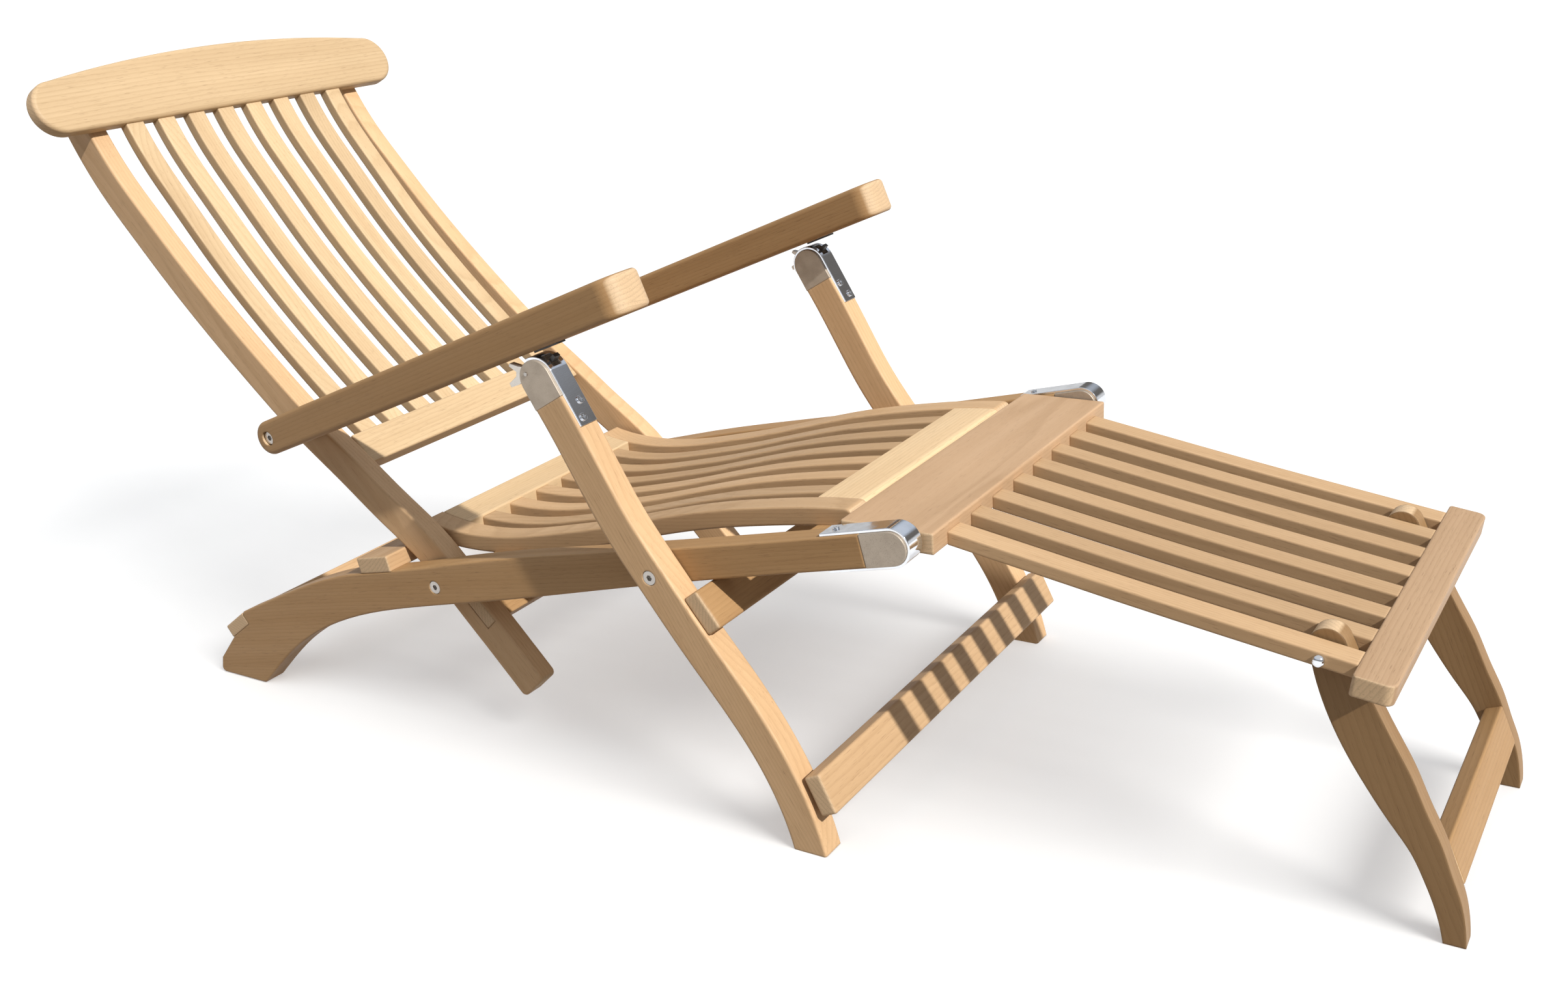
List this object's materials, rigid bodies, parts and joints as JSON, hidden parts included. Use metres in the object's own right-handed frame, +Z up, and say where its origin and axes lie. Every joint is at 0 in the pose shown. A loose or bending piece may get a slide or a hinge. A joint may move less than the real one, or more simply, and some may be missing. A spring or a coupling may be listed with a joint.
{
  "type": "folding_deck_chair",
  "caption": "A teak steamer deck chair with a dished slatted seat, curved slatted back and hinged footrest, open and fully reclined.",
  "frame": {"origin": "on the floor, under the middle of the open chair", "axes": "+X to the foot end, +Y to the sitter's left, +Z up"},
  "size_m": [1.6589, 0.568, 0.7723],
  "materials": {
    "teak": "satin oiled",
    "bright_steel": "polished",
    "cast_end_fitting": "satin",
    "dark_catch": "dull"
  },
  "bodies": {
    "side_frame": {"rail_left": "teak", "rail_right": "teak", "rear_crossbar": "teak", "back_stop_bar": "teak", "seat_rear_bearer": "teak", "seat_front_bearer": "teak", "rail_nose_caps": "cast_end_fitting", "rail_nose_straps": "bright_steel", "rail_strap_screws": "bright_steel", "back_pivot_bolts": "bright_steel", "leg_pivot_bolts": "bright_steel", "footrest_hinge_pins": "bright_steel", "seat_side_plank_left": "teak", "seat_side_plank_right": "teak", "seat_front_rail": "teak", "seat_rear_rail": "teak", "seat_slat_1": "teak", "seat_slat_2": "teak", "seat_slat_3": "teak", "seat_slat_4": "teak", "seat_slat_5": "teak", "seat_slat_6": "teak"},
    "back": {"stile_left": "teak", "stile_right": "teak", "headboard": "teak", "back_lower_rail": "teak", "back_tail_crossbar": "teak", "arm_pivot_bolts": "bright_steel", "back_slat_1": "teak", "back_slat_2": "teak", "back_slat_3": "teak", "back_slat_4": "teak", "back_slat_5": "teak", "back_slat_6": "teak", "back_slat_7": "teak", "back_slat_8": "teak"},
    "front_legs": {"front_leg_left": "teak", "front_leg_right": "teak", "leg_upper_crossbar": "teak", "leg_lower_crossbar": "teak", "leg_end_caps": "cast_end_fitting", "leg_straps": "bright_steel", "leg_strap_screws": "bright_steel", "catch_pins": "bright_steel"},
    "catch_left": {"arm_catch_left": "dark_catch"},
    "catch_right": {"arm_catch_right": "dark_catch"},
    "arm_left": {"armrest_left": "teak", "arm_hook_left": "dark_catch"},
    "arm_right": {"armrest_right": "teak", "arm_hook_right": "dark_catch"},
    "footrest": {"footrest_hinge_board": "teak", "footrest_stringer_left": "teak", "footrest_stringer_right": "teak", "footrest_slats": "teak", "footrest_end_board": "teak", "footrest_leg_bolts": "bright_steel"},
    "footrest_legs": {"footrest_leg_left": "teak", "footrest_leg_right": "teak", "footrest_leg_crossbar": "teak"}
  },
  "joints": [
    {"name": "back_fold", "type": "hinge", "parent": "side_frame", "child": "back", "pos_m": [-0.268, 0, 0.191], "axis": [0, 1, 0], "range_deg": [0, 78]},
    {"name": "leg_fold", "type": "hinge", "parent": "side_frame", "child": "front_legs", "pos_m": [0.067, 0, 0.272], "axis": [0, 1, 0], "range_deg": [0, 97.5]},
    {"name": "arm_left_fold", "type": "hinge", "parent": "back", "child": "arm_left", "pos_m": [-0.469, 0.249, 0.356], "axis": [0, 1, 0], "range_deg": [-78, 0]},
    {"name": "arm_right_fold", "type": "hinge", "parent": "back", "child": "arm_right", "pos_m": [-0.469, -0.249, 0.356], "axis": [0, 1, 0], "range_deg": [-78, 0]},
    {"name": "footrest_fold", "type": "hinge", "parent": "side_frame", "child": "footrest", "pos_m": [0.325, 0, 0.332], "axis": [0, -1, 0], "range_deg": [0, 177]},
    {"name": "footrest_leg_fold", "type": "hinge", "parent": "footrest", "child": "footrest_legs", "pos_m": [0.698, 0, 0.267], "axis": [0, 1, 0], "range_deg": [0, 120]},
    {"name": "catch_left_turn", "type": "hinge", "parent": "front_legs", "child": "catch_left", "pos_m": [-0.061, 0.2735, 0.472], "axis": [0, -1, 0], "range_deg": [0, 30]},
    {"name": "catch_right_turn", "type": "hinge", "parent": "front_legs", "child": "catch_right", "pos_m": [-0.061, -0.2735, 0.472], "axis": [0, -1, 0], "range_deg": [0, 30]}
  ],
  "couplings": [
    {"joint": "leg_fold", "follows": "back_fold", "ratio": 1.25},
    {"joint": "arm_left_fold", "follows": "back_fold", "ratio": -1},
    {"joint": "arm_right_fold", "follows": "back_fold", "ratio": -1}
  ]
}
